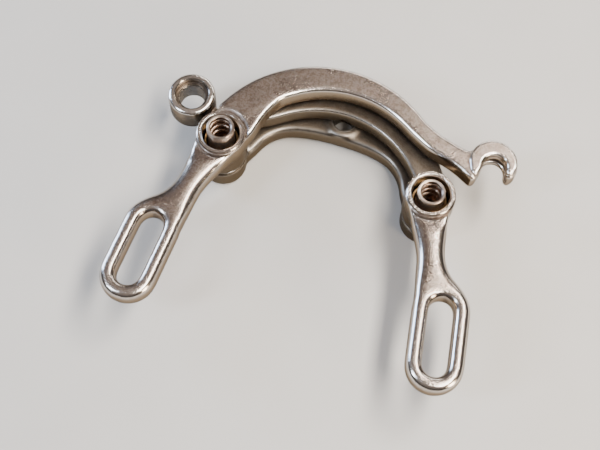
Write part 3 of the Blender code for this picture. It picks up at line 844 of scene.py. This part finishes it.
def aluminium(name, skin, face, skin_roughness, face_roughness):
    material, tree, shader, place = new_metal(name)
    edge, crease = attribute_value(tree, "edge"), attribute_value(tree, "crease")
    flat, wall = attribute_value(tree, "face"), attribute_value(tree, "wall")
    under_arm_shade = attribute_value(tree, "under_arm_shade")
    pits = use_group(tree, PITS, {"Place": place, "Pit Scale": 2300.0,
                                  "Amount": remap(tree, flat, 0.0, 1.0, 0.3, 1.0)})["Pits"]
    lines = use_group(tree, SCRATCHES, {"Place": place, "Amount": 1.0})["Scratches"]
    cloud = remap(tree, noise(tree, place, 150.0, 4.0, 0.6), 0.3, 0.7)
    stain = remap(tree, noise(tree, place, 420.0, 3.0, 0.6), 0.4, 0.7)
    base = mix_colour(tree, flat, (*skin, 1), (*face, 1))
    base = mix_colour(tree, math_node(tree, "MULTIPLY", cloud, 0.25), base,
                      (skin[0] * 0.55, skin[1] * 0.5, skin[2] * 0.46, 1))
    base = mix_colour(tree, math_node(tree, "MULTIPLY", stain, 0.16), base, STAIN)
    base = mix_colour(tree, math_node(tree, "MULTIPLY", pits, 0.55), base, PIT_COLOUR)
    # Painted reflection and painted shade: side walls are mixed towards a darker golden colour.
    base = mix_colour(tree, math_node(tree, "MULTIPLY", wall, 0.75), base, WALL_REFLECTION_SHADE_COLOUR)
    # Painted shade: the low parts under the front arm are mixed towards a dark colour.
    base = mix_colour(tree, math_node(tree, "MULTIPLY", under_arm_shade, 0.82), base, UNDER_ARM_SHADE_COLOUR)
    dull = mix_value(tree, flat, skin_roughness, face_roughness)
    dull = math_node(tree, "ADD", dull, math_node(tree, "MULTIPLY", cloud, 0.06))
    dull = math_node(tree, "ADD", dull, math_node(tree, "MULTIPLY", under_arm_shade, 0.12))
    # Bright edges are kept dull on the low parts, as painted shade, and on side walls, as painted
    # shade with a painted reflection.
    polished = math_node(tree, "MULTIPLY", edge, mix_value(tree, under_arm_shade, 1.0, 0.3))
    polished = math_node(tree, "MULTIPLY", polished, mix_value(tree, wall, 1.0, 0.15))
    worn = use_group(tree, WEAR, {"Place": place, "Edge": polished, "Crease": crease,
                                  "Skin Colour": base, "Skin Roughness": dull,
                                  "Edge Colour": (0.86, 0.82, 0.77, 1),
                                  "Grime Colour": (0.09, 0.06, 0.045, 1)})
    wire(tree, worn["Colour"], shader.inputs["Base Color"])
    shader.inputs["Specular Tint"].default_value = (0.5, 0.47, 0.44, 1)
    wire(tree, worn["Roughness"], shader.inputs["Roughness"])
    waves = noise(tree, place, 260.0, 2.0)
    height = math_node(tree, "SUBTRACT", math_node(tree, "MULTIPLY", waves, 0.45),
                       math_node(tree, "MULTIPLY", pits, 0.55))
    height = math_node(tree, "SUBTRACT", height, math_node(tree, "MULTIPLY", lines, 0.1))
    bump(tree, shader, height, 0.00003)
    return material


HOOK_ARM_METAL = aluminium("hook_arm_aluminium", (0.5, 0.45, 0.41), (0.43, 0.36, 0.315), 0.16, 0.26)
EYE_ARM_METAL = aluminium("eye_arm_aluminium", (0.5, 0.46, 0.42), (0.43, 0.365, 0.32), 0.15, 0.24)
# The bridge's darker colours are painted shade from the arms over it.
BRIDGE_METAL_PAINTED_SHADE = aluminium("bridge_aluminium", (0.30, 0.27, 0.235), (0.30, 0.265, 0.23), 0.2, 0.28)
print("aluminium on", hook_arm.name, eye_arm.name, bridge.name)

# %% [markdown]
# ### Post steel, bushing bronze and spring wire
# The posts are turned steel that has gone brown, with orange in the thread. The bushings are
# bronze, darkened with painted shade for the gap they sit in, and the springs are drawn wire
# with a film of oil.

# %% Steel, bronze and wire
THREAD_COLOUR = (0.17, 0.085, 0.04, 1)


def turned_metal(name, colour, tint, roughness, lines, tint_share, grime):
    """A lathe-turned metal with a second colour in patches, darker where "bore" marks it."""
    material, tree, shader, place = new_metal(name)
    marks = use_group(tree, TURNING, {"Place": place, "Lines": lines})["Marks"]
    patch = remap(tree, noise(tree, place, 900.0, 4.0, 0.65), 0.35, 0.7)
    soot = remap(tree, noise(tree, place, 1700.0, 3.0, 0.6), 0.45, 0.8)
    base = mix_colour(tree, math_node(tree, "MULTIPLY", patch, tint_share),
                      (*colour, 1), (*tint, 1))
    base = mix_colour(tree, math_node(tree, "MULTIPLY", marks, 0.25), base,
                      (colour[0] * 0.4, colour[1] * 0.38, colour[2] * 0.36, 1))
    base = mix_colour(tree, math_node(tree, "MULTIPLY", soot, grime), base, (0.05, 0.04, 0.03, 1))
    bore = attribute_value(tree, "bore")
    base = mix_colour(tree, math_node(tree, "MULTIPLY", bore, 0.78), base, THREAD_COLOUR)
    wire(tree, base, shader.inputs["Base Color"])
    rough = math_node(tree, "ADD", math_node(tree, "MULTIPLY", marks, 0.14), roughness)
    rough = math_node(tree, "ADD", rough, math_node(tree, "MULTIPLY", patch, 0.08))
    wire(tree, rough, shader.inputs["Roughness"])
    bump(tree, shader, marks, 0.00002)
    return material


POST_METAL = {side: turned_metal(f"post_steel_{side}", (0.56, 0.50, 0.45), (0.42, 0.22, 0.11),
                                 0.22, 3800.0, 0.5, 0.3) for side in PIVOT}
# The bushings' dark colours and heavy soot are partly bronze and partly painted shade for the gap
# they sit in.
BUSHING_METAL = {side: turned_metal(f"bushing_bronze_{side}", (0.4, 0.28, 0.14), (0.2, 0.12, 0.07),
                                    0.34, 3000.0, 0.6, 0.6) for side in PIVOT}
WIRE_METAL = {side: turned_metal(f"spring_wire_{side}", (0.42, 0.41, 0.4), (0.25, 0.17, 0.11),
                                 0.28, 5200.0, 0.3, 0.35) for side in PIVOT}
print("steel, bronze and wire ready")

# %% [markdown]
# ## Pivot posts
# Each post is turned in one piece: a rivet head in the back of the bridge, a shank, a shoulder
# on the bridge and the bearing journal, drilled and tapped from the front. The section is
# turned on the lathe helper, and the thread tree adds the ridge.

# %% Turn and tap the posts
THREAD_RADIUS, RIDGE, PITCH, TURNS = 2.95, 0.2, 1.0, 11.5
POST_RADIUS = 3.95


def post_section(top):
    """Half section of a post, from its rivet to its chamfered end."""
    bore = THREAD_RADIUS
    floor = BOSS_TOP - 14.5
    shoulder = BRIDGE_TOP + 0.3
    return [(0, 0.3), (3.9, 0.3), (4.3, 0.45), (4.4, 0.8), (4.4, 1.4), (3.2, 1.4),
            (3.2, shoulder), (POST_RADIUS - 0.2, shoulder), (POST_RADIUS, shoulder + 0.2),
            (POST_RADIUS, top - 0.4), (POST_RADIUS - 0.1, top - 0.16), (POST_RADIUS - 0.32, top),
            (bore + 0.3, top), (bore + 0.2, top - 0.05), (bore, top - 0.3),
            (bore, floor + 1.6), (2.5, floor + 1.2), (2.5, floor), (0, floor - 1.2)]


posts = {}
for side, centre in PIVOT.items():
    top = top_of(f"pivot_post_{side}")
    post = lathe(f"pivot_post_{side}_turned", post_section(top), centre, 96)
    run_tree(post, THREAD, {
        "Thread Radius": (THREAD_RADIUS + 0.06) * MM, "Ridge": RIDGE * MM, "Pitch": PITCH * MM,
        "Turns": TURNS, "Finish": POST_METAL[side],
        "Place": (centre[0] * MM, centre[1] * MM, (top - 0.65 - PITCH * TURNS) * MM)})
    places, _ = edge_table(post.data)
    reach = np.hypot(places[:, 0] / MM - centre[0], places[:, 1] / MM - centre[1])
    inside = (reach < THREAD_RADIUS + 0.05) & (places[:, 2] / MM < top - 0.25)
    store(post.data, "bore", inside * 1.0)
    posts[side] = post
    print(post.name, len(post.data.polygons), "faces, top at", round(top, 2), "mm")

# %% [markdown]
# ## Bushings
# Plain bearings sit between the posts and the bores, well down in the dark gap. They are
# turned rings with eased edges and an oil groove, so the lathe makes them whole.

# %% Turn the bushings
bushings = {}
for side, centre in PIVOT.items():
    low, high = (v[2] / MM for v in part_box(f"pivot_bushing_{side}"))
    middle = (low + high) / 2
    inner, outer = POST_RADIUS + 0.3, BORE_RADIUS - 0.3
    bushings[side] = lathe(f"pivot_bushing_{side}_turned", [
        (inner, low + 0.15), (inner + 0.15, low), (outer - 0.15, low), (outer, low + 0.15),
        (outer, high - 0.2), (outer - 0.2, high), (inner + 0.2, high), (inner, high - 0.2),
        (inner, middle + 0.35), (inner + 0.25, middle + 0.2), (inner + 0.25, middle - 0.2),
        (inner, middle - 0.35)], centre, 96)
    print(bushings[side].name, "from", round(low, 2), "to", round(high, 2), "mm")

# %% [markdown]
# ## Return springs
# A torsion spring is round wire along a path: a tail down into the bridge, a coil round the
# post and a tail out into the boss. The path is a line of points found from the coil's rule,
# and Geometry Nodes sweep the wire along it.

# %% A node tree that draws wire along a path
def wire_tree():
    """Round wire swept along a path, with named inputs."""
    tree = bpy.data.node_groups.new("drawn_wire", "GeometryNodeTree")
    number_input(tree, "Path", None, "NodeSocketGeometry")
    number_input(tree, "Wire Radius", 0.55 * MM)
    number_input(tree, "Sides", 16, "NodeSocketInt")
    number_input(tree, "Finish", None, "NodeSocketMaterial")
    tree.interface.new_socket("Wire", in_out="OUTPUT", socket_type="NodeSocketGeometry")
    add, link = tree.nodes.new, tree.links.new
    given = add("NodeGroupInput").outputs
    curve = add("GeometryNodeMeshToCurve")
    link(given["Path"], curve.inputs["Mesh"])
    section = add("GeometryNodeCurvePrimitiveCircle")
    link(given["Sides"], section.inputs["Resolution"])
    link(given["Wire Radius"], section.inputs["Radius"])
    sweep = add("GeometryNodeCurveToMesh")
    sweep.inputs["Fill Caps"].default_value = True
    link(curve.outputs["Curve"], sweep.inputs["Curve"])
    link(section.outputs["Curve"], sweep.inputs["Profile Curve"])
    smooth = add("GeometryNodeSetShadeSmooth")
    link(sweep.outputs["Mesh"], smooth.inputs["Geometry"])
    realize = add("GeometryNodeRealizeInstances")
    link(smooth.outputs["Geometry"], realize.inputs["Geometry"])
    finish = add("GeometryNodeSetMaterial")
    link(realize.outputs["Geometry"], finish.inputs["Geometry"])
    link(given["Finish"], finish.inputs["Material"])
    link(finish.outputs["Geometry"], add("NodeGroupOutput").inputs[0])
    return tree


WIRE = wire_tree()
WIRE_RADIUS = 0.55


def spring_path(centre, mirrored, rest):
    """Lower tail, coil and upper tail, in millimetres."""
    start = SPRING_ANGLE - 360 * COIL_TURNS
    end = SPRING_ANGLE - rest
    steps = 108
    path = []
    for i in range(steps + 1):
        angle = math.radians(start + (end - start) * i / steps)
        path.append((COIL_RADIUS * math.cos(angle), COIL_RADIUS * math.sin(angle),
                     COIL_START + COIL_PITCH * COIL_TURNS * i / steps))
    foot = (path[0][0], path[0][1])
    tail = [(*foot, 4.5), (*foot, 6.0), (*foot, 7.3)]
    out = math.radians(end)
    tip = (6.95 * math.cos(out), 6.95 * math.sin(out), path[-1][2])
    whole = [*tail, *path[4:], tip]
    return [(centre[0] + mirrored * x, centre[1] + y, z) for x, y, z in whole]


springs = {}
for side, centre in PIVOT.items():
    mirrored, rest = (1, 0.0) if side == "left" else (-1, math.degrees(EYE_REST))
    path = spring_path(centre, mirrored, rest)
    mesh = bpy.data.meshes.new(f"return_spring_{side}_wire")
    mesh.from_pydata([[v * MM for v in p] for p in path],
                     [(i, i + 1) for i in range(len(path) - 1)], [])
    spring = bpy.data.objects.new(mesh.name, mesh)
    bpy.context.scene.collection.objects.link(spring)
    run_tree(spring, WIRE, {"Wire Radius": WIRE_RADIUS * MM, "Finish": WIRE_METAL[side]})
    springs[side] = spring
    print(spring.name, len(spring.data.polygons), "faces")

# %% [markdown]
# ## Put the pieces on their bodies
# Every piece stands for its CAD node and gets its finish, and all but the springs ride on the
# body that carries that node. Round pieces are shaded smooth up to their real edges.

# %% Ride, replace and give finishes
def fit_out(piece, node, body, material=None):
    if material:
        piece.data.materials.clear()
        piece.data.materials.append(material)
    if not piece.data.attributes.get("edge"):
        piece.data.shade_smooth()
        piece.data.set_sharp_from_angle(angle=math.radians(32))
    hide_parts(node)
    if body:
        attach(piece, body)


fit_out(hook_arm, "hook_arm", "hook_arm_body", HOOK_ARM_METAL)
fit_out(eye_arm, "eye_arm", "eye_arm_body", EYE_ARM_METAL)
fit_out(bridge, "bridge", "bridge_assembly", BRIDGE_METAL_PAINTED_SHADE)
ARM_BODY = {"left": "hook_arm_body", "right": "eye_arm_body"}
for side, centre in PIVOT.items():
    fit_out(posts[side], f"pivot_post_{side}", "bridge_assembly")
    fit_out(bushings[side], f"pivot_bushing_{side}", ARM_BODY[side], BUSHING_METAL[side])
    fit_out(springs[side], f"return_spring_{side}", None)
    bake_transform(springs[side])
print("pieces:", 3 + len(posts) + len(bushings) + len(springs))

# %% [markdown]
# ## Bench and light
# The bench is a plain pale sheet under the bridge. Polished metal shows its surroundings, so
# the light is a soft studio: a long warm strip high on the right, a narrow window at the front
# left, a golden box low on the right, blue sky on the left, a strip behind and a dim room all
# round. The dull top of the room keeps the flat faces grey while the rounded edges catch the
# boxes.

# %% Bench
def plain_sheet(name, size, height):
    """A flat square, in millimetres."""
    bm = bmesh.new()
    bmesh.ops.create_grid(bm, x_segments=2, y_segments=2, size=size / 2)
    bmesh.ops.translate(bm, vec=(0, 0, height), verts=bm.verts)
    return add_object(name, bm)


bench = plain_sheet("bench", 2400.0, -0.02)
bench_material, tree, shader, place = new_metal("pale_bench", 0.0)
grain = noise(tree, place, 60.0, 3.0)
wire(tree, mix_colour(tree, grain, (0.54, 0.525, 0.5, 1), (0.57, 0.555, 0.53, 1)),
     shader.inputs["Base Color"])
shader.inputs["Roughness"].default_value = 0.6
bench.data.materials.append(bench_material)


# %% Lamps and room
def soft_box(name, centre, aim, width, height, power, colour):
    """An area lamp that faces a point, in millimetres."""
    data = bpy.data.lights.new(name, "AREA")
    data.shape = "RECTANGLE"
    data.size, data.size_y = width * MM, height * MM
    data.energy = power
    data.color = colour
    lamp = bpy.data.objects.new(name, data)
    bpy.context.scene.collection.objects.link(lamp)
    direction = Vector(aim) - Vector(centre)
    lamp.matrix_world = Matrix.Translation(Vector(centre) * MM) @ direction.to_track_quat(
        "-Z", "Y").to_matrix().to_4x4()
    return lamp


MIDDLE = (0, -30, 10)
soft_box("key_strip", (225, 0, 510), MIDDLE, 560, 95, 6.8, (1.0, 0.93, 0.84))
soft_box("window", (-330, -290, 430), MIDDLE, 90, 240, 1.9, (0.72, 0.84, 1.0))
soft_box("warm_side", (560, -260, 210), MIDDLE, 160, 260, 3.0, (1.0, 0.8, 0.58))
soft_box("left_sky", (-560, 90, 170), MIDDLE, 200, 360, 3.4, (0.52, 0.7, 1.0))
soft_box("back_strip", (60, 560, 260), MIDDLE, 520, 60, 1.2, (1.0, 0.95, 0.9))

room = bpy.data.worlds.new("room")
bpy.context.scene.world = room
room.use_nodes = True
nodes, links = room.node_tree.nodes, room.node_tree.links
direction = nodes.new("ShaderNodeTexCoord").outputs["Generated"]
split = nodes.new("ShaderNodeSeparateXYZ")
links.new(direction, split.inputs[0])
ramp = nodes.new("ShaderNodeValToRGB")
stops = ramp.color_ramp.elements
stops[0].position, stops[0].color = 0.0, (0.10, 0.09, 0.085, 1)
stops[1].position, stops[1].color = 1.0, (0.42, 0.35, 0.31, 1)
for position, colour in ((0.35, (0.09, 0.08, 0.075, 1)), (0.75, (0.30, 0.25, 0.225, 1))):
    stop = stops.new(position)
    stop.color = colour
links.new(split.outputs["Z"], ramp.inputs["Fac"])
background = nodes["Background"]
links.new(ramp.outputs["Color"], background.inputs["Color"])
background.inputs["Strength"].default_value = 1.0
print("bench, lamps and a room")
